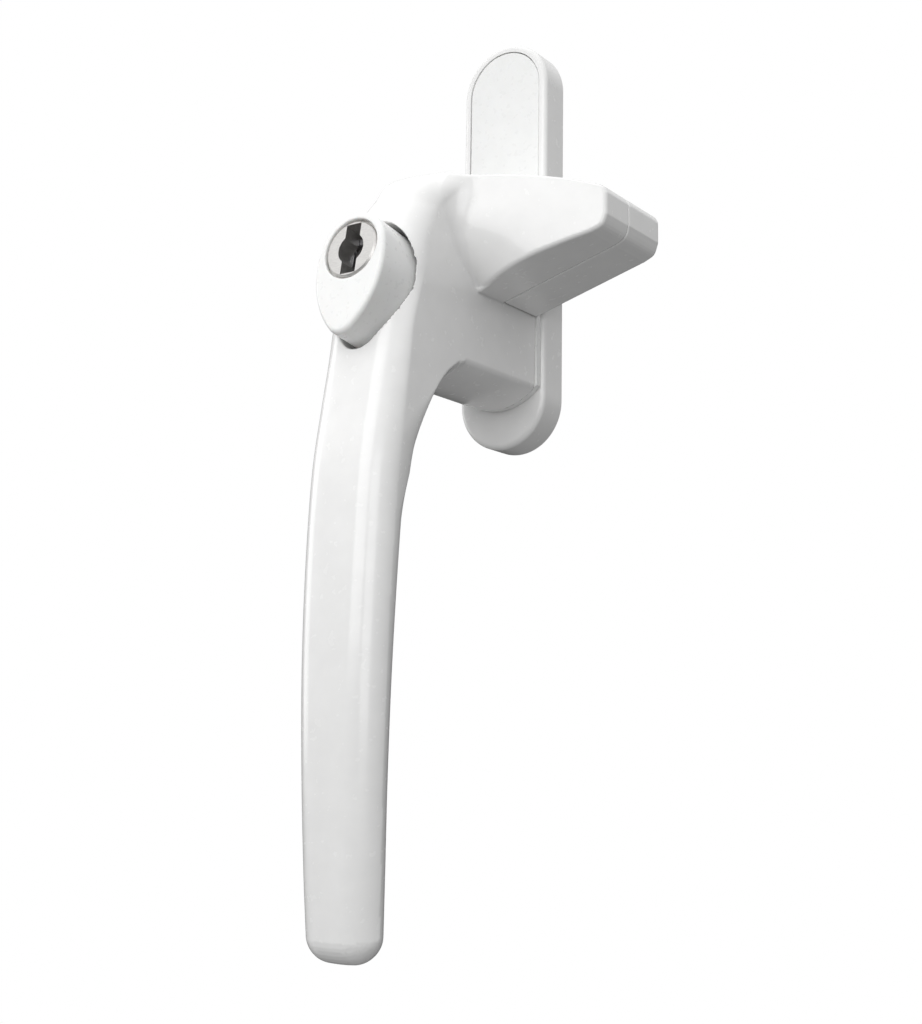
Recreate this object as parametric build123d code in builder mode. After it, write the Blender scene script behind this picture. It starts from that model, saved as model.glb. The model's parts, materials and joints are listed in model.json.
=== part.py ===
"""Keyed cockspur window handle: base plate, swinging handle, nose and push-button lock.

Frame: the origin is on the handle's pivot axis, at the base plate's back face, where it
meets the window sash. +X points to the nose's side, +Y into the sash and +Z up.
Lengths are in millimetres. A distance "out" is measured from the sash towards the room.
"""

from build123d import *
import math
import os

os.makedirs("parts", exist_ok=True)

# ---------------------------------------------------------------- driving dimensions
PLATE_WIDTH = 20.0
PLATE_THICK = 6.8
PLATE_LOW_CENTRE = -10.5  # Z of the lower round end's centre
PLATE_HIGH_CENTRE = 54.85  # Z of the upper round end's centre
PLATE_EDGE_ROUND = 1.0

CAP_INSET = 1.54  # rim of the plate left showing round the cap
CAP_THICK = 1.5
CAP_GAP = 0.15
CAP_LOW_END = 9.6
CAP_PEG_R = 1.5
CAP_PEG_Z = (27.0, 41.0)

SCREW_HOLE_R = 2.2
SCREW_HEAD_R = 4.2
SCREW_Z = (14.5, 54.5)

SPINDLE_R = 3.6
BUSH_R = 4.8
RUNNING_GAP = 0.05
BACK_RECESS_R = 7.5
BACK_RECESS_DEEP = 2.2

HUB_R = 13.0
HUB_HALF_WIDTH = 9.0
HUB_BACK = 8.3  # distance out of the hub's back face
HEAD_TOP = 26.4
HEAD_ROUND = 5.4
WASHER_THICK = 1.4

LOCK_PIN_R = 1.6
LOCK_PIN_OFFSET = 7.2  # radius at which the pin meets the plate
LOCK_HOLE_R = 1.9
LOCK_HOLE_FLOOR = 4.1

NOSE_ROOT_X = 5.0  # inside the head, where the nose starts
NOSE_TIP_X = 36.4
NOSE_SCREWS = ((15.5, 14.8), (27.0, 16.0))
NOSE_STEP_X = 11.0
NOSE_BACK = 8.0
NOSE_PARTING = 20.0
NOSE_TIP_FRONT = 28.3
NOSE_ROOT_LOW_FRONT = 29.0  # the facet leans out towards its top root
NOSE_ROOT_HIGH_FRONT = 38.5
NOSE_SCREW_R = 1.4
NOSE_SCREW_HEAD_R = 2.4
NOSE_SCREW_END = 26.6

GRIP_TIP_Z = -115.4

LOCK_TILT = 10.0  # degrees that the button's face looks up
LOCK_FACE_OUT = 55.2
LOCK_FACE_Z = 7.2
BUTTON_TRAVEL = 4.5
BUTTON_TOP_R = 7.2
BUTTON_SIDE_R = 18.0
BUTTON_POINT_R = 3.4
BUTTON_POINT_DROP = 12.9  # from the barrel's axis down to the blunt point's centre
BUTTON_DEEP = 11.0
BUTTON_BORE_R = 5.8
POCKET_GAP = 0.7
POCKET_DEEP = 16.5
BARREL_R = 6.35
BARREL_END = 17.0
SPRING_SEAT = 26.0
BARREL_PIN_R = 0.75
BARREL_PIN_DEPTH = 9.8
BARREL_PIN_DROP = 6.65
PLUG_R = 5.2
PLUG_FACE_R = 5.45
PLUG_END = 12.0
KEYWAY_WIDTH = 3.3
KEYWAY_HEIGHT = 9.6
KEYWAY_EYE_R = 2.8
LATCH_FRONT = 12.8
LATCH_THICK = 2.2

# ---------------------------------------------------------------- shared planes
tilt = math.radians(LOCK_TILT)


def out_plane(out):
    """Plane facing the room at a distance out from the sash: local x is +X, local y is +Z."""
    return Plane.XZ.offset(out)


def lock_plane(depth=0.0):
    """Plane square to the lock's axis, at a depth behind the button's face."""
    inward_y = math.cos(tilt)
    inward_z = -math.sin(tilt)
    return Plane(
        origin=(0, -LOCK_FACE_OUT + depth * inward_y, LOCK_FACE_Z + depth * inward_z),
        x_dir=(1, 0, 0),
        z_dir=(0, -inward_y, -inward_z),
    )


def finish(part, label):
    """Name the piece and write its STEP file."""
    part.label = label
    export_step(part, f"parts/{label}.step")


def obround(half_width, low_z, high_z):
    """Upright obround about X = 0, between two arc centres."""
    length = high_z - low_z + 2 * half_width
    with Locations((0, (low_z + high_z) / 2)):
        SlotOverall(length, 2 * half_width, rotation=90)


def teardrop(grow=0.0):
    """Outline of the push button: round top and blunt point, joined by tangent arcs."""
    top_r = BUTTON_TOP_R + grow
    point_r = BUTTON_POINT_R + grow
    side_r = BUTTON_SIDE_R + grow
    drop = BUTTON_POINT_DROP
    # centre of the right-hand side arc, from its distances to the two round ends' centres
    to_top = side_r - top_r
    to_point = side_r - point_r
    centre_y = (to_point**2 - to_top**2 - drop**2) / (2 * drop)
    centre_x = -math.sqrt(to_top**2 - centre_y**2)
    high_x = centre_x * (1 - side_r / to_top)
    high_y = centre_y * (1 - side_r / to_top)
    low_x = centre_x * (1 - side_r / to_point)
    low_y = centre_y - (centre_y + drop) * side_r / to_point
    side_x = centre_x + side_r
    with BuildSketch() as outline:
        with BuildLine():
            ThreePointArc((-high_x, high_y), (0, top_r), (high_x, high_y))
            ThreePointArc((high_x, high_y), (side_x, centre_y), (low_x, low_y))
            ThreePointArc((low_x, low_y), (0, -drop - point_r), (-low_x, low_y))
            ThreePointArc((-low_x, low_y), (-side_x, centre_y), (-high_x, high_y))
        make_face()
    return outline.sketch


def nose_outline():
    """Nose seen from the room: tapers evenly to a blunt tip."""
    with BuildSketch() as outline:
        with BuildLine():
            Polyline(
                (NOSE_ROOT_X, 3.5),
                (NOSE_TIP_X - 1.4, 12.1),
                (NOSE_TIP_X, 13.6),
                (NOSE_TIP_X, 19.3),
            )
            ThreePointArc((NOSE_TIP_X, 19.3), (22.4, 23.6), (NOSE_ROOT_X, 24.8))
            Line((NOSE_ROOT_X, 24.8), (NOSE_ROOT_X, 3.5))
        make_face()
    return outline.sketch


BUTTON_OUTLINE = teardrop()
POCKET_OUTLINE = teardrop(POCKET_GAP)
NOSE_OUTLINE = nose_outline()


def coil(radius, wire_r, length, turns):
    """Close-wound compression spring standing on the local XY plane."""
    pitch = (length - 2 * wire_r) / turns
    with BuildPart() as spring:
        with BuildLine() as path:
            Helix(pitch=pitch, height=pitch * turns, radius=radius, center=(0, 0, wire_r))
        start = path.line @ 0
        with BuildSketch(Plane(origin=start, z_dir=path.line % 0)):
            Circle(wire_r)
        sweep(is_frenet=True)
    return spring.part


# ---------------------------------------------------------------- base plate
with BuildPart() as base_plate:
    with BuildSketch(out_plane(0)):
        obround(PLATE_WIDTH / 2, PLATE_LOW_CENTRE, PLATE_HIGH_CENTRE)
    extrude(amount=PLATE_THICK)
    front_edges = base_plate.faces().sort_by(Axis.Y)[0].edges()
    fillet(front_edges, PLATE_EDGE_ROUND)
    # recess for the cap, open downwards under the washer
    with BuildSketch(out_plane(PLATE_THICK)):
        obround(PLATE_WIDTH / 2 - CAP_INSET, CAP_LOW_END, PLATE_HIGH_CENTRE)
        with Locations((0, CAP_LOW_END - PLATE_WIDTH / 2)):
            Rectangle(PLATE_WIDTH, PLATE_WIDTH - 2 * CAP_GAP, mode=Mode.SUBTRACT)
    extrude(amount=-(CAP_THICK + 0.1), mode=Mode.SUBTRACT)
    # bore for the pivot bush and the recess for its washers
    with BuildSketch(out_plane(0)):
        Circle(BUSH_R)
    extrude(amount=PLATE_THICK, mode=Mode.SUBTRACT)
    with BuildSketch(out_plane(0)):
        Circle(BACK_RECESS_R)
    extrude(amount=BACK_RECESS_DEEP, mode=Mode.SUBTRACT)
    # two blind holes for the locking pin: handle closed and handle open
    with BuildSketch(out_plane(LOCK_HOLE_FLOOR)):
        with Locations((0, -LOCK_PIN_OFFSET), (-LOCK_PIN_OFFSET, 0)):
            Circle(LOCK_HOLE_R)
    extrude(amount=PLATE_THICK - LOCK_HOLE_FLOOR, mode=Mode.SUBTRACT)
    # countersunk fixing holes and the cap's peg holes
    seat_out = PLATE_THICK - CAP_THICK - 0.1
    with Locations(*[out_plane(seat_out) * Location((0, z)) for z in SCREW_Z]):
        CounterSinkHole(SCREW_HOLE_R, SCREW_HEAD_R, depth=seat_out, counter_sink_angle=90)
    with BuildSketch(out_plane(seat_out)):
        with Locations(*[(0, z) for z in CAP_PEG_Z]):
            Circle(CAP_PEG_R + RUNNING_GAP)
    extrude(amount=-2.6, mode=Mode.SUBTRACT)
finish(base_plate.part, "base_plate")

# ---------------------------------------------------------------- cover cap
with BuildPart() as cover_cap:
    cap_half = PLATE_WIDTH / 2 - CAP_INSET - CAP_GAP
    with BuildSketch(out_plane(seat_out + 0.05)):
        obround(cap_half, CAP_LOW_END, PLATE_HIGH_CENTRE)
        with Locations((0, CAP_LOW_END - PLATE_WIDTH / 2)):
            Rectangle(PLATE_WIDTH, PLATE_WIDTH, mode=Mode.SUBTRACT)
    extrude(amount=CAP_THICK)
    fillet(cover_cap.faces().sort_by(Axis.Y)[0].edges(), 0.3)
    with BuildSketch(out_plane(seat_out + 0.05)):
        with Locations(*[(0, z) for z in CAP_PEG_Z]):
            Circle(CAP_PEG_R)
    extrude(amount=-2.4)
finish(cover_cap.part, "cover_cap")

# ---------------------------------------------------------------- pivot
bush_length = PLATE_THICK - BACK_RECESS_DEEP
with BuildPart() as pivot_bush:
    with BuildSketch(out_plane(BACK_RECESS_DEEP)):
        Circle(BUSH_R)
        Circle(SPINDLE_R + RUNNING_GAP, mode=Mode.SUBTRACT)
    extrude(amount=bush_length)
finish(pivot_bush.part, "pivot_bush")

SPINDLE_END = 0.2
CLIP_OUT = 0.4
CLIP_THICK = 0.6
CLIP_GROOVE_R = 3.0
SPINDLE_DEEP = 26.0
with BuildPart() as pivot_spindle:
    with BuildSketch(out_plane(SPINDLE_END)):
        Circle(SPINDLE_R)
    extrude(amount=SPINDLE_DEEP - SPINDLE_END)
    chamfer(pivot_spindle.faces().sort_by(Axis.Y)[-1].edges(), 0.3)
    with BuildSketch(out_plane(CLIP_OUT)):
        Circle(SPINDLE_R + 1)
        Circle(CLIP_GROOVE_R, mode=Mode.SUBTRACT)
    extrude(amount=CLIP_THICK, mode=Mode.SUBTRACT)
finish(pivot_spindle.part, "pivot_spindle")

with BuildPart() as spindle_circlip:
    with BuildSketch(out_plane(CLIP_OUT + 0.02)):
        Circle(5.2)
        Circle(CLIP_GROOVE_R + 0.02, mode=Mode.SUBTRACT)
        with Locations((0, -4.2)):
            Rectangle(2.4, 3.2, mode=Mode.SUBTRACT)
    extrude(amount=CLIP_THICK - 0.04)
finish(spindle_circlip.part, "spindle_circlip")

RETAINER_OUT = CLIP_OUT + CLIP_THICK
RETAINER_THICK = 0.5
with BuildPart() as retaining_washer:
    with BuildSketch(out_plane(RETAINER_OUT)):
        Circle(7.0)
        Circle(SPINDLE_R + RUNNING_GAP, mode=Mode.SUBTRACT)
    extrude(amount=RETAINER_THICK)
finish(retaining_washer.part, "retaining_washer")

CONE_THICK = 0.3
cone_low = -(RETAINER_OUT + RETAINER_THICK + 0.01)
cone_high = -(BACK_RECESS_DEEP - 0.03)
with BuildPart() as spring_washer:
    with BuildSketch(Plane.XY):
        with BuildLine():
            Polyline(
                (3.9, cone_low),
                (6.8, cone_high + CONE_THICK),
                (6.8, cone_high),
                (3.9, cone_low - CONE_THICK),
                close=True,
            )
        make_face()
    revolve(axis=Axis.Y)
finish(spring_washer.part, "spring_washer")

with BuildPart() as bearing_washer:
    with BuildSketch(out_plane(HUB_BACK - WASHER_THICK)):
        Circle(HUB_R - 0.1)
        Rectangle(2 * HUB_HALF_WIDTH + 0.7, 4 * HUB_R, mode=Mode.INTERSECT)
        Circle(SPINDLE_R + 0.1, mode=Mode.SUBTRACT)
        with Locations((0, -LOCK_PIN_OFFSET)):
            Circle(LOCK_HOLE_R, mode=Mode.SUBTRACT)
    extrude(amount=WASHER_THICK)
    fillet(bearing_washer.faces().sort_by(Axis.Y)[-1].outer_wire().edges(), 0.3)
finish(bearing_washer.part, "bearing_washer")


# ---------------------------------------------------------------- handle casting
GRIP_SECTIONS = (
    # Z, front, back, half width, front round, back round
    (-13.0, 53.5, 37.9, 9.0, 5.4, 0.6),
    (-20.0, 55.0, 42.8, 9.0, 5.4, 1.4),
    (-32.0, 57.0, 45.4, 9.0, 5.2, 3.4),
    (-48.0, 58.0, 47.0, 9.1, 5.0, 4.4),
    (-66.0, 58.4, 47.8, 8.9, 4.9, 4.4),
    (-84.0, 58.0, 47.9, 8.3, 4.7, 4.2),
    (-100.0, 57.2, 47.4, 7.8, 4.6, 4.1),
    (GRIP_TIP_Z, 56.4, 47.2, 7.4, 4.5, 4.0),
)
HUB_LOW = -9.4  # where the hub's round underside meets its flat sides
HUB_DEEP = 33.0
NECK_LOW = -13.2

with BuildPart() as nose_front:
    root = (NOSE_ROOT_X, NOSE_ROOT_LOW_FRONT, NOSE_ROOT_HIGH_FRONT)
    tip = (NOSE_TIP_X, NOSE_TIP_FRONT, NOSE_TIP_FRONT)
    for x, low_front, high_front in (root, tip):
        with BuildSketch(Plane.YZ.offset(x)):
            with BuildLine():
                Polyline(
                    (-NOSE_PARTING, 2.0),
                    (-low_front, 2.0),
                    (-high_front, 28.0),
                    (-NOSE_PARTING, 28.0),
                    close=True,
                )
            make_face()
    loft(ruled=True)
    with BuildSketch(out_plane(NOSE_PARTING)):
        add(NOSE_OUTLINE)
    extrude(amount=HUB_DEEP, mode=Mode.INTERSECT)

with BuildPart() as handle:
    # hub and head seen from the side
    with BuildSketch(Plane.YZ):
        with BuildLine():
            Line((-HUB_BACK, HUB_LOW), (-HUB_BACK, HEAD_TOP))
            Line((-HUB_BACK, HEAD_TOP), (-32.0, HEAD_TOP))
            ThreePointArc((-32.0, HEAD_TOP), (-43.6, 21.6), (-49.4, 10.5))
            Line((-49.4, 10.5), (-52.7, -9.0))
            Line((-52.7, -9.0), (-53.5, NECK_LOW))
            Line((-53.5, NECK_LOW), (-37.9, NECK_LOW))
            Line((-37.9, NECK_LOW), (-HUB_DEEP, HUB_LOW))
            Line((-HUB_DEEP, HUB_LOW), (-HUB_BACK, HUB_LOW))
        make_face()
    extrude(amount=HUB_HALF_WIDTH, both=True)
    front_rounds = handle.edges().filter_by(
        lambda e: abs(abs(e.center().X) - HUB_HALF_WIDTH) < 0.01
        and (e.center().Y < -48 or e.center().Z > HEAD_TOP - 10)
        and e.center().Y < -HUB_BACK - 0.1
        and e.center().Z > NECK_LOW + 0.1
    )
    fillet(front_rounds, HEAD_ROUND)
    # rounded underside of the hub, about the pivot
    with BuildSketch(out_plane(HUB_BACK)):
        Circle(HUB_R)
        Rectangle(2 * HUB_HALF_WIDTH, 2 * HUB_R, mode=Mode.INTERSECT)
    extrude(amount=HUB_DEEP - HUB_BACK)
    # grip
    for z, front, back, half_width, front_round, back_round in GRIP_SECTIONS:
        with BuildSketch(Plane.XY.offset(z)) as section:
            with Locations((0, -(front + back) / 2)):
                Rectangle(2 * half_width, front - back)
            fillet(section.vertices().group_by(Axis.Y)[0], front_round)
            fillet(section.vertices().group_by(Axis.Y)[-1], back_round)
    loft()
    tip_edges = handle.faces().sort_by(Axis.Z)[0].edges()
    fillet(tip_edges, 3.6)
    add(nose_front.part)
    # seat of the pivot spindle, blind from the back
    with BuildSketch(out_plane(HUB_BACK)):
        Circle(SPINDLE_R)
    extrude(amount=SPINDLE_DEEP - HUB_BACK, mode=Mode.SUBTRACT)
    # pocket of the push button, bore of the barrel and groove of the latch
    with BuildSketch(lock_plane(POCKET_DEEP)):
        add(POCKET_OUTLINE)
    extrude(amount=POCKET_DEEP + 5, mode=Mode.SUBTRACT)
    with BuildSketch(lock_plane(SPRING_SEAT)):
        Circle(BARREL_R + 0.25)
    extrude(amount=SPRING_SEAT, mode=Mode.SUBTRACT)
    latch_back = LATCH_FRONT + LATCH_THICK + BUTTON_TRAVEL + 0.4
    with BuildSketch(lock_plane(latch_back)):
        with Locations((0, 6.2)):
            Rectangle(3.6, 4.6)
    extrude(amount=latch_back - LATCH_FRONT + 0.4, mode=Mode.SUBTRACT)
    # straight bore of the locking pin, widened for its spring
    with BuildSketch(out_plane(HUB_BACK)):
        with Locations((0, -LOCK_PIN_OFFSET)):
            Circle(LOCK_PIN_R + RUNNING_GAP)
    extrude(amount=38.0, mode=Mode.SUBTRACT)
    with BuildSketch(out_plane(31.0)):
        with Locations((0, -LOCK_PIN_OFFSET)):
            Circle(3.1)
    extrude(amount=14.0, mode=Mode.SUBTRACT)
    # threads of the nose screws
    with BuildSketch(out_plane(NOSE_PARTING)):
        with Locations(*NOSE_SCREWS):
            Circle(NOSE_SCREW_R + 0.1)
    extrude(amount=NOSE_SCREW_END + 0.4 - NOSE_PARTING, mode=Mode.SUBTRACT)
finish(handle.part, "handle")

# ---------------------------------------------------------------- nose
with BuildPart() as nose_block:
    with BuildSketch(out_plane(NOSE_BACK)):
        add(NOSE_OUTLINE)
        with Locations((HUB_HALF_WIDTH + 20.02, 15)):
            Rectangle(40, 40, mode=Mode.INTERSECT)
    extrude(amount=NOSE_PARTING - NOSE_BACK)
    # relief beside the base plate
    with BuildSketch(out_plane(NOSE_BACK)):
        with Locations((NOSE_STEP_X - 2, 15)):
            Rectangle(4, 40)
    extrude(amount=0.4, mode=Mode.SUBTRACT)
    from_behind = Location((0, 0, 0), (0, 180, 0))
    screw_places = [out_plane(NOSE_BACK) * Location((x, z)) * from_behind for x, z in NOSE_SCREWS]
    with Locations(*screw_places):
        CounterSinkHole(NOSE_SCREW_R + 0.2, NOSE_SCREW_HEAD_R + 0.5, counter_sink_angle=90)
finish(nose_block.part, "nose_block")

with BuildPart() as nose_screws:
    screw_back = -(NOSE_BACK + 0.35)
    for x, z in NOSE_SCREWS:
        with BuildSketch(Plane.XY.offset(z)):
            with BuildLine():
                Polyline(
                    (x, screw_back),
                    (x + NOSE_SCREW_HEAD_R, screw_back),
                    (x + NOSE_SCREW_HEAD_R, screw_back - 0.1),
                    (x + NOSE_SCREW_R, screw_back - 1.1),
                    (x + NOSE_SCREW_R, 0.6 - NOSE_SCREW_END),
                    (x, -NOSE_SCREW_END),
                    close=True,
                )
            make_face()
        revolve(axis=Axis((x, 0, z), (0, 1, 0)))
    # cross recesses
    with BuildSketch(out_plane(NOSE_BACK)):
        with Locations(*NOSE_SCREWS):
            Rectangle(0.6, NOSE_SCREW_HEAD_R + 0.4)
            Rectangle(NOSE_SCREW_HEAD_R + 0.4, 0.6)
    extrude(amount=1.3, mode=Mode.SUBTRACT)
finish(nose_screws.part, "nose_screws")

# ---------------------------------------------------------------- push button and lock
barrel_pin_start = lock_plane(BARREL_PIN_DEPTH).from_local_coords((0, -BARREL_PIN_DROP, 0))
barrel_pin_plane = Plane(origin=barrel_pin_start, x_dir=(0, 1, 0), z_dir=(1, 0, 0))

with BuildPart() as barrel_pin:
    with BuildSketch(barrel_pin_plane):
        Circle(BARREL_PIN_R - 0.02)
    extrude(amount=6.0, both=True)
finish(barrel_pin.part, "barrel_pin")

with BuildPart() as push_button:
    with BuildSketch(lock_plane(BUTTON_DEEP)):
        add(BUTTON_OUTLINE)
    extrude(amount=BUTTON_DEEP)
    fillet(push_button.faces().sort_by(Axis.Y)[0].edges(), 0.7)
    with BuildSketch(lock_plane(BUTTON_DEEP)):
        Circle(BARREL_R)
    extrude(amount=BUTTON_DEEP - 1.0, mode=Mode.SUBTRACT)
    with BuildSketch(lock_plane(BUTTON_DEEP)):
        Circle(BUTTON_BORE_R)
    extrude(amount=BUTTON_DEEP + 1, mode=Mode.SUBTRACT)
    with BuildSketch(barrel_pin_plane):
        Circle(BARREL_PIN_R)
    extrude(amount=20, both=True, mode=Mode.SUBTRACT)
finish(push_button.part, "push_button")

with BuildPart() as lock_barrel:
    with BuildSketch(lock_plane(BARREL_END)):
        Circle(BARREL_R)
    extrude(amount=BARREL_END - 1.0)
    with BuildSketch(lock_plane(BARREL_END)):
        Circle(PLUG_R + RUNNING_GAP)
    extrude(amount=BARREL_END, mode=Mode.SUBTRACT)
    # window that the latch slides through
    with BuildSketch(lock_plane(LATCH_FRONT + LATCH_THICK + 0.1)):
        with Locations((0, 5.5)):
            Rectangle(3.2, 5.0)
    extrude(amount=LATCH_THICK + 0.2, mode=Mode.SUBTRACT)
    with BuildSketch(barrel_pin_plane):
        Circle(BARREL_PIN_R)
    extrude(amount=20, both=True, mode=Mode.SUBTRACT)
finish(lock_barrel.part, "lock_barrel")

WAFER_DEPTHS = (4.0, 5.8, 7.6, 9.4)
WAFER_THICK = 0.6
with BuildPart() as key_plug:
    with BuildSketch(lock_plane(PLUG_END)):
        Circle(PLUG_R)
    extrude(amount=PLUG_END - 1.0)
    with BuildSketch(lock_plane(1.0)):
        Circle(PLUG_FACE_R)
    extrude(amount=0.9)
    chamfer(key_plug.faces().sort_by(Axis.Y)[0].edges(), 0.35)
    # keyway: a tall slot with a round eye
    with BuildSketch(lock_plane(11.0)):
        Rectangle(KEYWAY_WIDTH, KEYWAY_HEIGHT)
        Circle(KEYWAY_EYE_R)
    extrude(amount=12.0, mode=Mode.SUBTRACT)
    # slots for the wafers
    for depth in WAFER_DEPTHS:
        with BuildSketch(lock_plane(depth + WAFER_THICK + 0.1)):
            Rectangle(6.6, 8.0)
        extrude(amount=WAFER_THICK + 0.2, mode=Mode.SUBTRACT)
    # tail with the eccentric pin that draws the latch
    with BuildSketch(lock_plane(PLUG_END + 3.4)):
        with Locations((1.5, 0)):
            Circle(0.6)
    extrude(amount=3.5)
finish(key_plug.part, "key_plug")

with BuildPart() as wafers:
    for depth in WAFER_DEPTHS:
        with BuildSketch(lock_plane(depth + WAFER_THICK)):
            Rectangle(6.4, 7.8)
            Rectangle(KEYWAY_WIDTH + 1.6, 5.6, mode=Mode.SUBTRACT)
        extrude(amount=WAFER_THICK)
finish(wafers.part, "wafers")

with BuildPart() as latch:
    with BuildSketch(lock_plane(LATCH_FRONT + LATCH_THICK)):
        with Locations((0, 0.7)):
            Rectangle(5.8, 6.6)
        with Locations((0, 5.9)):
            Rectangle(3.0, 4.2)
        with Locations((0.75, 0)):
            Rectangle(3.1, 1.9, mode=Mode.SUBTRACT)
    extrude(amount=LATCH_THICK)
finish(latch.part, "latch")

with BuildPart() as barrel_cover:
    with BuildSketch(lock_plane(BARREL_END)):
        Circle(PLUG_R)
        with Locations((0, 4.6)):
            Rectangle(1.2, 1.6, mode=Mode.SUBTRACT)
    extrude(amount=BARREL_END - (LATCH_FRONT + LATCH_THICK) - 0.8)
finish(barrel_cover.part, "barrel_cover")

# ---------------------------------------------------------------- locking pin
PIN_TIP = 8.9
button_back = LOCK_FACE_OUT - BUTTON_DEEP / math.cos(tilt)
pin_head_out = button_back + (LOCK_PIN_OFFSET + LOCK_FACE_Z) * math.tan(tilt) - 0.35
with BuildPart() as locking_pin:
    with BuildSketch(out_plane(PIN_TIP)):
        with Locations((0, -LOCK_PIN_OFFSET)):
            Circle(LOCK_PIN_R)
    extrude(amount=pin_head_out - 1.0 - PIN_TIP)
    chamfer(locking_pin.faces().sort_by(Axis.Y)[-1].edges(), 0.4)
    with BuildSketch(out_plane(pin_head_out - 1.6)):
        with Locations((0, -LOCK_PIN_OFFSET)):
            Circle(2.6)
    extrude(amount=1.6)
    fillet(locking_pin.faces().sort_by(Axis.Y)[0].edges(), 1.4)
finish(locking_pin.part, "locking_pin")

# ---------------------------------------------------------------- springs
pin_spring_place = out_plane(31.05) * Location((0, -LOCK_PIN_OFFSET, 0))
pin_spring = pin_spring_place * coil(2.35, 0.35, pin_head_out - 1.65 - 31.05, 9)
finish(pin_spring, "pin_spring")

button_spring_place = Location(lock_plane(SPRING_SEAT - 0.05))
button_spring = button_spring_place * coil(5.0, 0.45, SPRING_SEAT - BARREL_END - 0.1, 5)
finish(button_spring, "button_spring")

latch_middle = Location(lock_plane(LATCH_FRONT + LATCH_THICK / 2))
latch_spring_place = latch_middle * Location((0, -5.0, 0), (-90, 0, 0))
latch_spring = latch_spring_place * coil(0.7, 0.15, 2.3, 5)
finish(latch_spring, "latch_spring")
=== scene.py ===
"""Looks of the keyed cockspur window handle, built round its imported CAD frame.

The cast and moulded pieces are solids written as signed distance fields, in millimetres, and
meshed here. Springs and screws are built turn by turn. Every other piece is the CAD node with
a procedural finish. Axes: +X to the nose's side, +Y into the window sash, +Z up.
"""

import itertools
import json
import math

import bpy
import numpy as np
from mathutils import Matrix, Vector


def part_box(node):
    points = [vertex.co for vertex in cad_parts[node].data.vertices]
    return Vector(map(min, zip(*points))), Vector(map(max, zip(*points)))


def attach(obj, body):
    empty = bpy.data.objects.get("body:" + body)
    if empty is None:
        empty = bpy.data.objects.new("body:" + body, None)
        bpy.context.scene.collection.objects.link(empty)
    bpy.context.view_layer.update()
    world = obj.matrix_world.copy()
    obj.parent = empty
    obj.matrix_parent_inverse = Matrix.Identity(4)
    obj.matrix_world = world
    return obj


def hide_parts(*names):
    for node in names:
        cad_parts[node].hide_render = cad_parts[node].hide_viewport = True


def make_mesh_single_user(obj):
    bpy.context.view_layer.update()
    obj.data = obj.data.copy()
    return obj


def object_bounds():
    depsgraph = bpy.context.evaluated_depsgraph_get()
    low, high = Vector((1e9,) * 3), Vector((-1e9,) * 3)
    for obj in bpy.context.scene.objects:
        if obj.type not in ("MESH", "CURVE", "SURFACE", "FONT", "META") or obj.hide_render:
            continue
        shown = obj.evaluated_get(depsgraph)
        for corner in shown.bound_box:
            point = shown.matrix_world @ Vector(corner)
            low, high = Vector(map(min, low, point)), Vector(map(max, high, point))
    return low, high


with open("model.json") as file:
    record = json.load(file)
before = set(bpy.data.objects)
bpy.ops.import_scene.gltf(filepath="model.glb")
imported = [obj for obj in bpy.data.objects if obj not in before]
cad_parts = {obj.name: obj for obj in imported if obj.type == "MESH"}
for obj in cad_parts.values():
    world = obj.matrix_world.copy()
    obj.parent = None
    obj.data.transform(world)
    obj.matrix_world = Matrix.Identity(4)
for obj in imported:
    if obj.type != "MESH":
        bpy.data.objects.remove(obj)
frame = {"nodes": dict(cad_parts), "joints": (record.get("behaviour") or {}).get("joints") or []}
cad_low, cad_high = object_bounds()

MM = 0.001
scene = bpy.context.scene


# ---------------------------------------------------------------- distances of solids
def rounded_and(a, b, radius):
    """What two solids share, with an edge of that radius where their surfaces cross."""
    past_a = a + radius
    past_b = b + radius
    corner = np.hypot(np.maximum(past_a, 0), np.maximum(past_b, 0))
    return np.minimum(np.maximum(past_a, past_b), 0) + corner - radius


def rounded_or(a, b, radius):
    """Two solids joined, with a fillet of that radius in the corner between them."""
    return -rounded_and(-a, -b, radius)


def cut(solid, tool, radius):
    """A solid with a tool's shape taken out of it, and a rounded rim."""
    return rounded_and(solid, -tool, radius)


def smooth_step(t):
    """Rises from 0 to 1 as t does, flat at both ends."""
    t = np.clip(t, 0, 1)
    return t * t * (3 - 2 * t)


def slab(value, low, high):
    """Distance outside a slab between two values."""
    return np.maximum(low - value, value - high)


def curve_through(points, steps=8):
    """Points of a smooth line through the given ones, by Catmull-Rom spans."""
    p = np.array(points, float)
    ends = np.vstack([2 * p[0] - p[1], p, 2 * p[-1] - p[-2]])
    line = []
    for a, b, c, d in zip(ends, ends[1:], ends[2:], ends[3:]):
        for t in np.arange(steps) / steps:
            line.append(
                0.5 * (2 * b + (c - a) * t + (2 * a - 5 * b + 4 * c - d) * t**2)
                + 0.5 * (3 * b - 3 * c + d - a) * t**3
            )
    return line + [p[-1]]


def outline_distance(points, u, v):
    """Signed distance from a closed outline, negative inside it."""
    nearest = np.float64(1e9)
    inside = np.zeros(np.broadcast(u, v).shape, bool)
    for (u0, v0), (u1, v1) in zip(points, points[1:] + points[:1]):
        du, dv = u1 - u0, v1 - v0
        length = du * du + dv * dv
        if length < 1e-12:
            continue
        along = np.clip(((u - u0) * du + (v - v0) * dv) / length, 0, 1)
        nearest = np.minimum(nearest, (u - u0 - along * du) ** 2 + (v - v0 - along * dv) ** 2)
        if dv:
            crosses = ((v0 > v) != (v1 > v)) & (u < u0 + (v - v0) * du / dv)
            inside = inside ^ crosses
    distance = np.sqrt(nearest)
    return np.where(inside, -distance, distance)


# ---------------------------------------------------------------- from distances to a mesh
def gradient(field, points, step=0.01):
    """Value and slope of a field at points."""
    value = field(*points.T)
    slope = np.stack(
        [(field(*(points + offset).T) - value) / step for offset in np.eye(3) * step], axis=1
    )
    return value, slope


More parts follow.
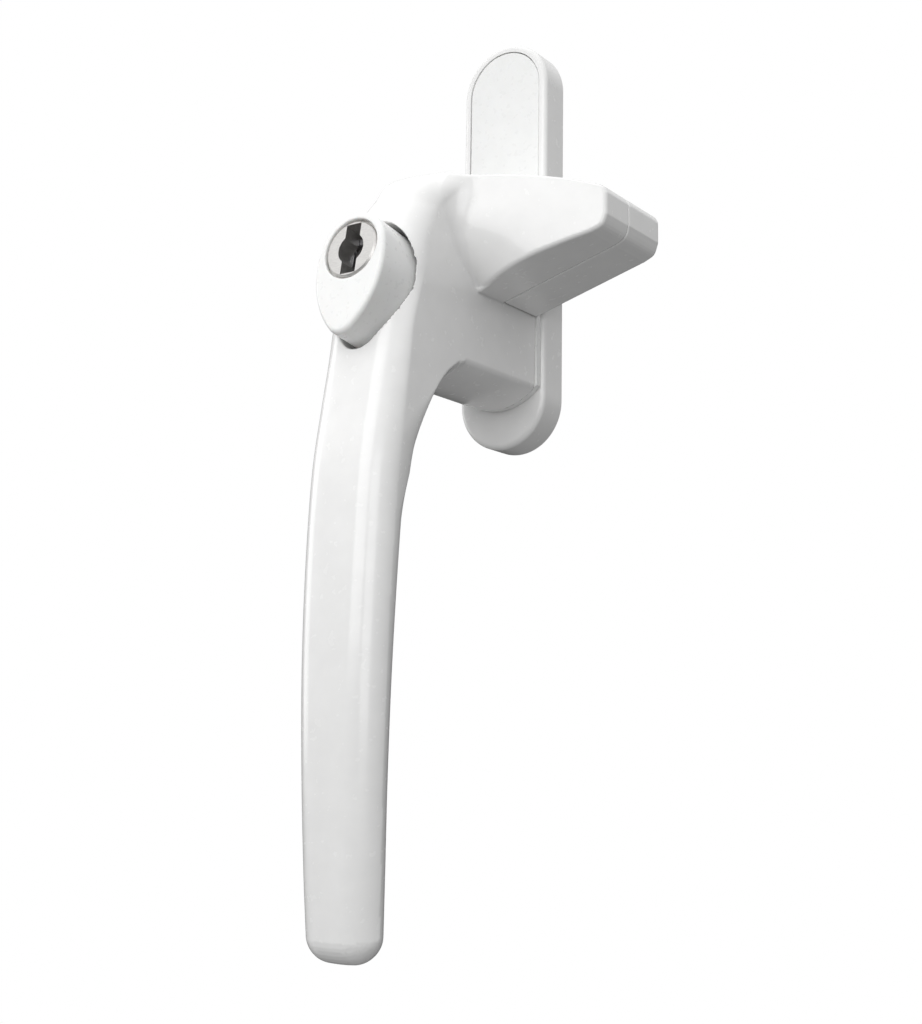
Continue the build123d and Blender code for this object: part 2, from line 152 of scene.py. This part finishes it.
def onto_surface(field, points, most):
    """Moves points along the slope, by no more than a given length, to where the field is zero."""
    value, slope = gradient(field, points)
    move = value / np.maximum((slope**2).sum(1), 0.2)
    return points - np.clip(move, -most, most)[:, None] * slope


def net_quads(inside, number):
    """Four cells round each grid edge that crosses the surface, turned to face outwards."""
    quads = []
    for axis in range(3):
        b, c = (axis + 1) % 3, (axis + 2) % 3
        here = np.moveaxis(inside, axis, 0)
        crossing = np.moveaxis(here[:-1] != here[1:], 0, axis)
        leaving = np.moveaxis(here[:-1] & ~here[1:], 0, axis)
        place = np.argwhere(crossing)
        place = place[(place[:, b] > 0) & (place[:, c] > 0)]
        ring = []
        for step_b, step_c in ((0, 0), (1, 0), (1, 1), (0, 1)):
            cell = place.copy()
            cell[:, b] -= step_b
            cell[:, c] -= step_c
            ring.append(number[tuple(cell.T)])
        ring = np.stack(ring, axis=1)
        outward = leaving[tuple(place.T)]
        ring[~outward] = ring[~outward][:, ::-1]
        quads.append(ring)
    return np.vstack(quads)


def surface_mesh(name, field, low, high, cell, relax=3):
    """Mesh of a field's zero surface inside a box, in metres, with the field's own normals."""
    axes = [np.arange(a - 2 * cell, b + 2 * cell, cell) for a, b in zip(low, high)]
    grid = np.ix_(*axes)
    shape = [len(a) for a in axes]
    value = np.broadcast_to(field(*grid), shape)
    inside = value < 0
    corners = list(itertools.product((0, 1), repeat=3))
    windows = [tuple(slice(k, n - 1 + k) for k, n in zip(c, shape)) for c in corners]
    count = sum(inside[w].astype(np.int8) for w in windows)
    active = (count > 0) & (count < 8)
    cells = np.argwhere(active)
    number = np.full(active.shape, -1)
    number[active] = np.arange(len(cells))
    at_corner = np.stack([value[w][active] for w in windows], axis=1)
    total = np.zeros((len(cells), 3))
    found = np.zeros(len(cells))
    for i, j in itertools.combinations(range(8), 2):
        start, end = np.array(corners[i], float), np.array(corners[j], float)
        if np.abs(end - start).sum() != 1:
            continue
        a, b = at_corner[:, i], at_corner[:, j]
        crosses = (a < 0) != (b < 0)
        share = a[crosses] / (a[crosses] - b[crosses])
        total[crosses] += start + share[:, None] * (end - start)
        found[crosses] += 1
    origin = np.array([a[0] for a in axes])
    points = origin + (cells + total / found[:, None]) * cell
    quads = net_quads(inside, number)
    ends = np.vstack([quads[:, (k, (k + 1) % 4)] for k in range(4)])
    degree = np.bincount(ends[:, 0], minlength=len(points)).astype(float)
    for _ in range(relax):
        pull = np.stack(
            [np.bincount(ends[:, 0], points[ends[:, 1], k], len(points)) for k in range(3)], axis=1
        )
        points = 0.5 * points + 0.5 * pull / degree[:, None]
        points = onto_surface(field, points, cell)
    for _ in range(3):
        points = onto_surface(field, points, cell)
    slope = gradient(field, points)[1]
    normals = slope / np.linalg.norm(slope, axis=1)[:, None]
    mesh = bpy.data.meshes.new(name)
    mesh.from_pydata((points * MM).tolist(), [], quads.tolist())
    mesh.polygons.foreach_set("use_smooth", [True] * len(mesh.polygons))
    mesh.normals_split_custom_set_from_vertices(normals.tolist())
    mesh.validate(clean_customdata=False)
    return mesh


def add_piece(name, mesh, body, material, slot, *replaced):
    """Puts a finished mesh in the scene as a piece of the object."""
    piece = bpy.data.objects.new(name, mesh)
    scene.collection.objects.link(piece)
    mesh.materials.clear()
    mesh.materials.append(material)
    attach(piece, body)
    if replaced:
        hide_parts(*replaced)
    return piece


# ---------------------------------------------------------------- the lock's own axes
joints = {j["name"]: j for j in frame["joints"]}
key_joint = joints["key_turn"]
FACE_CENTRE = np.array(key_joint["pos_m"]) / MM
INWARD = np.array(key_joint["axis"])
UPWARD = np.array([0.0, -INWARD[2], INWARD[1]])


def lock_depth(y, z):
    """Distance behind the button's face, along the key's axis."""
    return (y - FACE_CENTRE[1]) * INWARD[1] + (z - FACE_CENTRE[2]) * INWARD[2]


def lock_height(y, z):
    """Distance above the key's axis, in the button's face."""
    return (y - FACE_CENTRE[1]) * UPWARD[1] + (z - FACE_CENTRE[2]) * UPWARD[2]


def lock_matrix(depth):
    """Frame in metres on the key's axis: local Z points out to the room, local Y up."""
    out = Vector(-INWARD)
    up = Vector(UPWARD)
    place = Vector(FACE_CENTRE + depth * INWARD) * MM
    return Matrix.Translation(place) @ Matrix((up.cross(out), up, out)).transposed().to_4x4()


# ---------------------------------------------------------------- sizes shared with the CAD part
HUB_R = 13.0
HALF_WIDTH = 9.0
HUB_BACK = 8.3
HEAD_TOP = 26.4
HUB_FRONT = 33.0
GRIP_TAPER = 1.6
GRIP_TAPER_FROM = -45.0
GRIP_TIP = -115.4
EDGE_R = 0.45  # plain edges of the casting
FULL_R = 4.4  # added on the crowned front and the grip
HEAD_FULL_LESS = 0.8  # so much less on the head
DOME_R = 4.6  # added on the left of the head's dome
CROWN = 1.1
SPINDLE_R = 3.6
SPINDLE_END = 26.0
PIN_DROP = 7.2
PIN_BORE_R = 1.65
PIN_BORE_END = 46.3
PIN_SPRING_BORE_R = 3.1
PIN_SPRING_BORE = (-45.0, -31.0)
BORE_EDGE = 0.1
PARTING = 20.0
NOSE_BACK = 8.0
NOSE_TIP_X = 36.4
NOSE_ROOT_X = 9.0
NOSE_TIP_FRONT = 28.3
NOSE_ROOT_FRONT = 27.4  # at the bottom of the root
NOSE_ROOT_CLIMB = 9.6  # so much further out at its top
NOSE_BOW = 2.9
NOSE_BOW_X = 5.0
NOSE_SCREWS = ((15.5, 14.8), (27.0, 16.0))
NOSE_THREAD_R = 1.5
NOSE_THREAD_END = 27.0
NOSE_HOLE_R = 1.6
NOSE_SINK_R = 2.9

BUTTON_TOP_R = 7.2
BUTTON_SIDE_R = 18.0
BUTTON_POINT_R = 3.4
BUTTON_DROP = 12.9
BUTTON_DEEP = 11.0
BUTTON_BORE_R = 5.8
BARREL_R = 6.35
BARREL_GAP = 0.25
BARREL_PIN_R = 0.75
BARREL_PIN_DEPTH = 9.8
BARREL_PIN_DROP = 6.65
POCKET_GAP = 0.8
POCKET_RIM = 0.35
POCKET_DEEP = 16.5
SPRING_SEAT = 26.0
GROOVE_HALF_WIDTH = 1.8
GROOVE_HEIGHT = 6.2
GROOVE_HALF_HEIGHT = 2.3
GROOVE_DEPTHS = (15.0, 19.9)

# half circle that ends the grip in side view
TIP_Y = -51.8
TIP_Z = -110.8
TIP_R = 4.6

# side view, (y, z): the front line from the top of the head to the tip, and the back line up
FRONT_LINE = [
    (-32.0, 26.4), (-38.0, 25.3), (-42.8, 22.3), (-46.2, 18.3), (-48.7, 12.6), (-50.6, 5.0),
    (-52.9, -9.0), (-55.0, -20.0), (-57.0, -32.0), (-58.0, -48.0), (-58.4, -66.0), (-58.0, -84.0),
    (-57.2, -100.0), (-56.4, -110.8),
]
BACK_LINE = [
    (-47.2, -110.8), (-47.5, -100.0), (-47.9, -84.0), (-47.8, -66.0), (-47.0, -48.0),
    (-45.6, -32.0), (-44.2, -25.0), (-41.2, -17.4), (-37.6, -12.8), (-33.0, -9.4),
]
SIDE_VIEW = (
    [(-HUB_BACK, -2.0), (-HUB_BACK, HEAD_TOP)]
    + curve_through(FRONT_LINE)
    + [(TIP_Y - TIP_R * math.cos(a), TIP_Z - TIP_R * math.sin(a)) for a in np.linspace(0, math.pi, 19)]
    + curve_through(BACK_LINE)
    + [(-HUB_FRONT, -2.0)]
)
# the nose from the room, (x, z)
NOSE_VIEW = (
    [(-2.0, 1.5), (33.4, 11.65)]
    + curve_through([(33.4, 11.65), (35.5, 12.75), (NOSE_TIP_X, 14.9)], 4)
    + curve_through([(NOSE_TIP_X, 18.9), (NOSE_TIP_X - 0.5, 19.9), (35.0, 20.5)], 3)
    + curve_through(
        [(35.0, 20.5), (29.0, 22.3), (22.4, 23.6), (15.7, 24.4), (8.0, 24.8), (-2.0, 24.8)]
    )
)


def teardrop(x, height):
    """Distance outside the button's outline: round top and blunt point, joined by tangent arcs."""
    to_top = BUTTON_SIDE_R - BUTTON_TOP_R
    to_point = BUTTON_SIDE_R - BUTTON_POINT_R
    side_z = (to_point**2 - to_top**2 - BUTTON_DROP**2) / (2 * BUTTON_DROP)
    side_x = -math.sqrt(to_top**2 - side_z**2)
    x = np.abs(x)
    across, above = x - side_x, height - side_z
    # the side arc rules between the lines from its centre through the two round ends' centres
    over_top = above * -side_x > across * -side_z
    under_point = above * -side_x < across * (-BUTTON_DROP - side_z)
    side = np.hypot(across, above) - BUTTON_SIDE_R
    top = np.hypot(x, height) - BUTTON_TOP_R
    point = np.hypot(x, height + BUTTON_DROP) - BUTTON_POINT_R
    return np.where(over_top, top, np.where(under_point, point, side))


def body_solid(x, y, z):
    """Head, hub and grip, before the nose and the bores."""
    taper = np.clip((GRIP_TAPER_FROM - z) / (GRIP_TAPER_FROM - GRIP_TIP), 0, 1.05) ** 1.5
    side = np.abs(x) - (HALF_WIDTH - GRIP_TAPER * taper)
    # front edges, and all of the grip's, are full and crowned
    front_from = 31 + 9 * smooth_step((12 - z) / 20)
    fullness = np.maximum(smooth_step((-y - front_from) / 12), smooth_step((-20 - z) / 22))
    dome = smooth_step((z - 11) / 9) * smooth_step((-y - 26) / 8) * smooth_step((4 - x) / 8)
    profile = outline_distance(SIDE_VIEW, y, z) + CROWN * fullness * (x / HALF_WIDTH) ** 2
    hub = np.maximum(np.hypot(x, z) - HUB_R, slab(y, -HUB_FRONT, -HUB_BACK))
    hub = np.maximum(hub, z - 5)
    outline = rounded_or(profile, hub, 1.5 * smooth_step((-y - 24) / 8) + 0.02)
    full_radius = FULL_R - HEAD_FULL_LESS * smooth_step((z + 2) / 20)
    return rounded_and(outline, side, EDGE_R + full_radius * fullness + DOME_R * dome)


def nose_facet(x, z):
    """How far out the front of the nose stands: it twists, and reaches furthest at its top root."""
    to_root = np.clip((NOSE_TIP_X - x) / (NOSE_TIP_X - NOSE_ROOT_X), -0.1, 1)
    climb = 1 - (1 - np.clip((z - 5.5) / 13, 0, 1)) ** 2
    bow = NOSE_BOW * np.sin(math.pi * np.clip((x - NOSE_BOW_X) / (NOSE_TIP_X - NOSE_BOW_X), 0, 1))
    root_front = NOSE_ROOT_FRONT + NOSE_ROOT_CLIMB * climb
    inside_head = np.maximum(NOSE_ROOT_X - x, 0)
    straight = NOSE_TIP_FRONT + (root_front - NOSE_TIP_FRONT) * to_root
    return straight + bow * (1 - climb) - inside_head


def nose_front(body, x, y, z):
    """Front half of the nose, with the valley that runs into the side of the head."""
    valley = 0.8 + 1.6 * smooth_step((z - 4) / 12) + 3.0 * smooth_step((z - 13) / 9)
    front = rounded_or(body, -y - nose_facet(x, z), valley)
    nose = rounded_and(front, outline_distance(NOSE_VIEW, x, z), 0.7)
    return rounded_and(nose, y + PARTING, 0.3)


def handle_solid(x, y, z):
    """The whole casting of the handle."""
    body = body_solid(x, y, z)
    crest = smooth_step((z - 17) / 6) * smooth_step((-y - 30) / 6)
    solid = rounded_or(body, nose_front(body, x, y, z), 0.01 + 2.5 * crest)
    depth, height = lock_depth(y, z), lock_height(y, z)
    pocket = np.maximum(teardrop(x, height) - POCKET_GAP, depth - POCKET_DEEP)
    solid = cut(solid, pocket, POCKET_RIM)
    barrel = np.hypot(x, height) - BARREL_R - BARREL_GAP
    across = np.abs(x) - GROOVE_HALF_WIDTH
    groove = np.maximum(across, np.abs(height - GROOVE_HEIGHT) - GROOVE_HALF_HEIGHT)
    pin = np.hypot(x, z + PIN_DROP)
    bores = [
        np.maximum(barrel, depth - SPRING_SEAT),
        np.maximum(groove, slab(depth, *GROOVE_DEPTHS)),
        np.maximum(np.hypot(x, z) - SPINDLE_R, -y - SPINDLE_END),
        np.maximum(pin - PIN_BORE_R, -y - PIN_BORE_END),
        np.maximum(pin - PIN_SPRING_BORE_R, slab(y, *PIN_SPRING_BORE)),
    ]
    for screw_x, screw_z in NOSE_SCREWS:
        thread = np.hypot(x - screw_x, z - screw_z) - NOSE_THREAD_R
        bores.append(np.maximum(thread, -y - NOSE_THREAD_END))
    for bore in bores:
        solid = cut(solid, bore, BORE_EDGE)
    return solid


def nose_back_solid(x, y, z):
    """Rear half of the nose, screwed on from behind."""
    solid = rounded_and(outline_distance(NOSE_VIEW, x, z), y + NOSE_BACK, 1.0)
    solid = rounded_and(solid, -y - PARTING, 0.3)
    solid = rounded_and(solid, HALF_WIDTH + 0.02 - x, 0.25)
    relief = np.maximum(x - 11.0, -y - NOSE_BACK - 0.4)
    solid = cut(solid, relief, 0.2)
    for screw_x, screw_z in NOSE_SCREWS:
        hole = np.hypot(x - screw_x, z - screw_z)
        sink = np.maximum(NOSE_HOLE_R, NOSE_SINK_R + y + NOSE_BACK)
        solid = cut(solid, (hole - sink) * 0.8, 0.12)
    return solid


def button_solid(x, y, z):
    """Shell of the push button."""
    depth, height = lock_depth(y, z), lock_height(y, z)
    solid = rounded_and(teardrop(x, height), -depth, 0.9)
    solid = rounded_and(solid, depth - BUTTON_DEEP, 0.3)
    middle = np.hypot(x, height)
    solid = cut(solid, middle - BUTTON_BORE_R, 0.2)
    solid = cut(solid, np.maximum(middle - BARREL_R, 1.0 - depth), 0.05)
    pin = np.hypot(depth - BARREL_PIN_DEPTH, height + BARREL_PIN_DROP) - BARREL_PIN_R
    return cut(solid, pin, 0.05)


# ---------------------------------------------------------------- finishes
def finish(name, light, dark, grain, rough, bump, stretch=(1, 1, 1), **constant):
    """Procedural finish: colour between two shades, roughness in a range, and fine relief.

    grain is the size of the colour's patches in metres, bump is (size, height) in metres.
    """
    material = bpy.data.materials.new(name)
    material.use_nodes = True
    tree = material.node_tree
    shader = tree.nodes["Principled BSDF"]
    for socket, value in constant.items():
        shader.inputs[socket.replace("_", " ")].default_value = value
    place = tree.nodes.new("ShaderNodeTexCoord")
    scale = tree.nodes.new("ShaderNodeMapping")
    scale.inputs["Scale"].default_value = stretch
    tree.links.new(place.outputs["Object"], scale.inputs["Vector"])

    def noise(size, detail):
        node = tree.nodes.new("ShaderNodeTexNoise")
        node.inputs["Scale"].default_value = 1 / size
        node.inputs["Detail"].default_value = detail
        tree.links.new(scale.outputs["Vector"], node.inputs["Vector"])
        return node.outputs["Fac"]

    patches = noise(grain, 3)
    shades = tree.nodes.new("ShaderNodeValToRGB")
    shades.color_ramp.elements[0].position = 0.3
    shades.color_ramp.elements[0].color = (*dark, 1)
    shades.color_ramp.elements[1].position = 0.7
    shades.color_ramp.elements[1].color = (*light, 1)
    tree.links.new(patches, shades.inputs["Fac"])
    tree.links.new(shades.outputs["Color"], shader.inputs["Base Color"])

    spread = tree.nodes.new("ShaderNodeMapRange")
    spread.inputs["From Min"].default_value = 0.3
    spread.inputs["From Max"].default_value = 0.7
    spread.inputs["To Min"].default_value = rough[0]
    spread.inputs["To Max"].default_value = rough[1]
    tree.links.new(noise(grain * 0.4, 2), spread.inputs["Value"])
    tree.links.new(spread.outputs["Result"], shader.inputs["Roughness"])

    relief = tree.nodes.new("ShaderNodeBump")
    relief.inputs["Strength"].default_value = 1.0
    relief.inputs["Distance"].default_value = bump[1]
    tree.links.new(noise(bump[0], 2), relief.inputs["Height"])
    tree.links.new(relief.outputs["Normal"], shader.inputs["Normal"])
    return material


WHITE_PAINT = finish(
    "white_powder_coat", (0.88, 0.88, 0.875), (0.85, 0.85, 0.845), 0.004, (0.2, 0.28),
    (0.0009, 0.0000035), Coat_Weight=0.35, Coat_Roughness=0.12,
)
WHITE_PLASTIC = finish(
    "white_moulded_plastic", (0.89, 0.89, 0.88), (0.865, 0.865, 0.855), 0.003, (0.26, 0.34),
    (0.0005, 0.000003), Subsurface_Weight=0.02,
)
NICKEL = finish(
    "satin_nickel", (0.72, 0.71, 0.69), (0.62, 0.61, 0.6), 0.0008, (0.36, 0.48),
    (0.00012, 0.000004), (1, 1, 6), Metallic=1.0,
)
BRONZE = finish(
    "sintered_bronze", (0.64, 0.47, 0.25), (0.5, 0.35, 0.17), 0.0006, (0.35, 0.5),
    (0.0002, 0.000012), Metallic=1.0,
)
ZINC_STEEL = finish(
    "zinc_plated_steel", (0.66, 0.67, 0.69), (0.5, 0.51, 0.54), 0.0016, (0.28, 0.42),
    (0.0002, 0.000006), Metallic=1.0,
)
SPRING_STEEL = finish(
    "drawn_spring_wire", (0.46, 0.46, 0.47), (0.33, 0.33, 0.35), 0.0004, (0.3, 0.45),
    (0.00015, 0.000004), Metallic=1.0,
)

# ---------------------------------------------------------------- cast and moulded pieces
add_piece(
    "handle_casting",
    surface_mesh("handle_casting", handle_solid, (-9.5, -59, -116), (37, -8, 27.5), 0.4),
    "handle", WHITE_PAINT, "white_paint", "handle",
)
add_piece(
    "nose_rear_half",
    surface_mesh("nose_rear_half", nose_back_solid, (9, -20, 3), (37, -8, 27.5), 0.35),
    "handle", WHITE_PAINT, "white_paint", "nose_block",
)
add_piece(
    "button_shell",
    surface_mesh("button_shell", button_solid, (-7.5, -59, -12), (7.5, -42, 15), 0.25),
    "button", WHITE_PLASTIC, "white_plastic", "push_button",
)

# ---------------------------------------------------------------- screws of the nose
SCREW_R = 1.4
SCREW_HEAD_R = 2.4
SCREW_BACK = -8.35
SCREW_END = -26.6
THREAD_PITCH = 0.9
THREAD_DEEP = 0.28
SCREW_POINT = 1.6
RECESS_HALF_WIDTH = 0.32
RECESS_HALF_LENGTH = 1.4
RECESS_DEEP = 1.0


def screw_solid(x, y, z):
    """Countersunk screw on the Y axis, head to the back, with a cross recess and a thread."""
    middle = np.hypot(x, z)
    turn = np.arctan2(z, x) / (2 * math.pi)
    phase = np.abs((y / THREAD_PITCH + turn) % 1 - 0.5) * 2
    thread = middle - SCREW_R + THREAD_DEEP * (1 - phase) * smooth_step((-10.2 - y) / 1.0)
    point = np.maximum(SCREW_END - y, thread + np.maximum(SCREW_END + SCREW_POINT - y, 0) * 0.6)
    rim = middle - SCREW_HEAD_R
    head = np.maximum(rim, 0.707 * (rim - (y - SCREW_BACK) - 0.1))
    solid = np.minimum(np.maximum(point, y - SCREW_BACK + 0.3), head)
    solid = rounded_and(solid, y - SCREW_BACK, 0.12)
    narrow, wide = np.minimum(np.abs(x), np.abs(z)), np.maximum(np.abs(x), np.abs(z))
    arms = np.maximum(narrow - RECESS_HALF_WIDTH, wide - RECESS_HALF_LENGTH)
    arms = arms + np.maximum(SCREW_BACK - y, 0) * 0.25
    return cut(solid, np.maximum(arms, SCREW_BACK - RECESS_DEEP - y), 0.06)


screw_mesh = surface_mesh(
    "nose_screw", screw_solid, (-2.5, SCREW_END, -2.5), (2.5, SCREW_BACK, 2.5), 0.14
)
for count, (screw_x, screw_z) in enumerate(NOSE_SCREWS, 1):
    own_mesh = screw_mesh.copy()
    own_mesh.transform(Matrix.Translation(Vector((screw_x, 0, screw_z)) * MM))
    add_piece(f"nose_screw_{count}", own_mesh, "handle", ZINC_STEEL, "zinc_steel", "nose_screws")


# ---------------------------------------------------------------- springs
def coil_mesh(name, radius, wire, length, turns):
    """Compression spring on the local Z axis from 0 to its length, with a dead coil at each end."""
    around, per_turn = 10, 30
    steps = int((turns + 2) * per_turn)
    share = np.linspace(0, 1, steps + 1)
    angle = 2 * math.pi * (turns + 2) * share
    done = (turns + 2) * share
    dead = 2.04 * wire
    working = (length - 2 * wire - 2 * dead) / turns
    live = np.clip(done - 1, 0, turns)
    rise = wire + dead * (done - live) + working * live
    points = []
    for a, h in zip(angle, rise):
        for k in range(around):
            b = 2 * math.pi * k / around
            reach = radius + wire * math.cos(b)
            points.append((reach * math.cos(a), reach * math.sin(a), h + wire * math.sin(b)))
    faces = []
    for i in range(steps):
        for k in range(around):
            j = (k + 1) % around
            first, second = i * around, (i + 1) * around
            faces.append((first + k, second + k, second + j, first + j))
    faces.append(tuple(range(around)))
    faces.append(tuple(steps * around + k for k in reversed(range(around))))
    mesh = bpy.data.meshes.new(name)
    mesh.from_pydata([(x * MM, y * MM, z * MM) for x, y, z in points], [], faces)
    mesh.polygons.foreach_set("use_smooth", [True] * len(mesh.polygons))
    return mesh


def spring(node, body, place, radius, wire, length, turns):
    """Compression spring built in place and attached to a body."""
    mesh = coil_mesh(node + "_coil", radius, wire, length, turns)
    mesh.transform(place)
    piece = add_piece(node + "_coil", mesh, body, SPRING_STEEL, "spring_steel", node)
    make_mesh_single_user(piece)


pin_low, pin_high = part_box("pin_spring")
spring(
    "pin_spring", "handle",
    Matrix.Translation((0, pin_high.y, -PIN_DROP * MM)) @ Matrix.Rotation(math.pi / 2, 4, "X"),
    2.35, 0.35, (pin_high.y - pin_low.y) / MM, 9,
)
spring(
    "button_spring", "handle", lock_matrix(25.95),
    5.0, 0.45, 8.85, 4,
)
spring(
    "latch_spring", "button",
    lock_matrix(13.9) @ Matrix.Translation((0, -5.0 * MM, 0)) @ Matrix.Rotation(-math.pi / 2, 4, "X"),
    0.7, 0.15, 2.3, 4,
)

# ---------------------------------------------------------------- finishes of the CAD nodes
FINISH_OF_NODE = {
    WHITE_PAINT: ("base_plate",),
    WHITE_PLASTIC: ("cover_cap", "bearing_washer"),
    NICKEL: ("lock_barrel", "key_plug"),
    BRONZE: ("pivot_bush", "barrel_cover"),
    ZINC_STEEL: ("pivot_spindle", "retaining_washer", "barrel_pin", "latch", "locking_pin"),
    SPRING_STEEL: ("spindle_circlip", "spring_washer", "wafers"),
}
for material, node_names in FINISH_OF_NODE.items():
    for node_name in node_names:
        materials = frame["nodes"][node_name].data.materials
        materials.clear()
        materials.append(material)

# ---------------------------------------------------------------- camera
CAMERA_PLACE = Vector((0.16807, -0.25868, -0.08242))
CAMERA_AZIMUTH = math.radians(35.16)
CAMERA_ELEVATION = math.radians(-9.23)
CAMERA_ROLL = math.radians(0.89)
LENS = 54.63


def facing(azimuth, elevation, roll=0.0):
    """Turn of a camera or lamp that looks at the object from an azimuth and elevation."""
    back = Vector((
        math.cos(elevation) * math.sin(azimuth),
        -math.cos(elevation) * math.cos(azimuth),
        math.sin(elevation),
    ))
    level = Vector((math.cos(azimuth), math.sin(azimuth), 0))
    right = level * math.cos(roll) + back.cross(level) * math.sin(roll)
    return Matrix((right, back.cross(right), back)).transposed().to_4x4()


camera = bpy.data.objects.new("camera", bpy.data.cameras.new("camera"))
scene.collection.objects.link(camera)
camera.data.lens = LENS
camera.data.sensor_width = 36
camera.data.clip_start = 0.01
camera.matrix_world = Matrix.Translation(CAMERA_PLACE) @ facing(
    CAMERA_AZIMUTH, CAMERA_ELEVATION, CAMERA_ROLL
)
scene.camera = camera

# ---------------------------------------------------------------- light
centre = (cad_low + cad_high) / 2 + Vector((0, 0, 0.03))


def softbox(name, azimuth, elevation, distance, size, watts):
    """Square lamp turned to the object's middle."""
    lamp = bpy.data.lights.new(name, "AREA")
    lamp.shape = "SQUARE"
    lamp.size = size
    lamp.energy = watts
    obj = bpy.data.objects.new(name, lamp)
    scene.collection.objects.link(obj)
    turn = facing(math.radians(azimuth), math.radians(elevation))
    out = turn.to_3x3() @ Vector((0, 0, distance))
    obj.matrix_world = Matrix.Translation(centre + out) @ turn


softbox("front_softbox", 6, 14, 0.34, 0.26, 0.5)
softbox("camera_softbox", 50, 6, 1.0, 0.5, 1.9)
softbox("left_softbox", -75, 10, 1.0, 0.6, 2.2)

# a soft surround: light from overhead, a little from below, and a little from the front left
SURROUND = (((0, 0, 1), 1.36), ((0, 0, -1), 0.37), ((-0.6, -0.7, 0.4), 0.2))
world = bpy.data.worlds.new("studio")
scene.world = world
world.use_nodes = True
tree = world.node_tree
sky = tree.nodes["Background"]
sky.inputs["Color"].default_value = (1, 1, 1, 1)
place = tree.nodes.new("ShaderNodeTexCoord")
strength = sky.inputs["Strength"]
for towards, level in SURROUND:
    facing_it = tree.nodes.new("ShaderNodeVectorMath")
    facing_it.operation = "DOT_PRODUCT"
    facing_it.inputs[1].default_value = towards
    tree.links.new(place.outputs["Generated"], facing_it.inputs[0])
    lit = tree.nodes.new("ShaderNodeMath")
    lit.operation = "MAXIMUM"
    lit.inputs[1].default_value = 0
    tree.links.new(facing_it.outputs["Value"], lit.inputs[0])
    total = tree.nodes.new("ShaderNodeMath")
    total.operation = "MULTIPLY_ADD"
    total.inputs[1].default_value = level
    total.inputs[2].default_value = 0
    tree.links.new(lit.outputs["Value"], total.inputs[0])
    tree.links.new(total.outputs["Value"], strength)
    strength = total.inputs[2]
white = tree.nodes.new("ShaderNodeBackground")
white.inputs["Color"].default_value = (1, 1, 1, 1)
seen = tree.nodes.new("ShaderNodeLightPath")
both = tree.nodes.new("ShaderNodeMixShader")
tree.links.new(seen.outputs["Is Camera Ray"], both.inputs["Fac"])
tree.links.new(sky.outputs["Background"], both.inputs[1])
tree.links.new(white.outputs["Background"], both.inputs[2])
tree.links.new(both.outputs["Shader"], tree.nodes["World Output"].inputs["Surface"])
scene.view_settings.view_transform = "Standard"

# ---------------------------------------------------------------- floor
FLOOR_DROP = 0.3
FLOOR_HALF = 0.8
floor_mesh = bpy.data.meshes.new("floor")
corners = [(-1, -1), (1, -1), (1, 1), (-1, 1)]
floor_mesh.from_pydata(
    [(FLOOR_HALF * a, FLOOR_HALF * b, cad_low.z - FLOOR_DROP) for a, b in corners], [], [(0, 1, 2, 3)]
)
floor = bpy.data.objects.new("floor", floor_mesh)
scene.collection.objects.link(floor)
floor_mesh.materials.append(
    finish("pale_floor", (0.9, 0.9, 0.9), (0.88, 0.88, 0.88), 0.05, (0.6, 0.7), (0.004, 0.00001))
)
floor.visible_diffuse = False
floor.visible_glossy = False
floor.visible_shadow = False
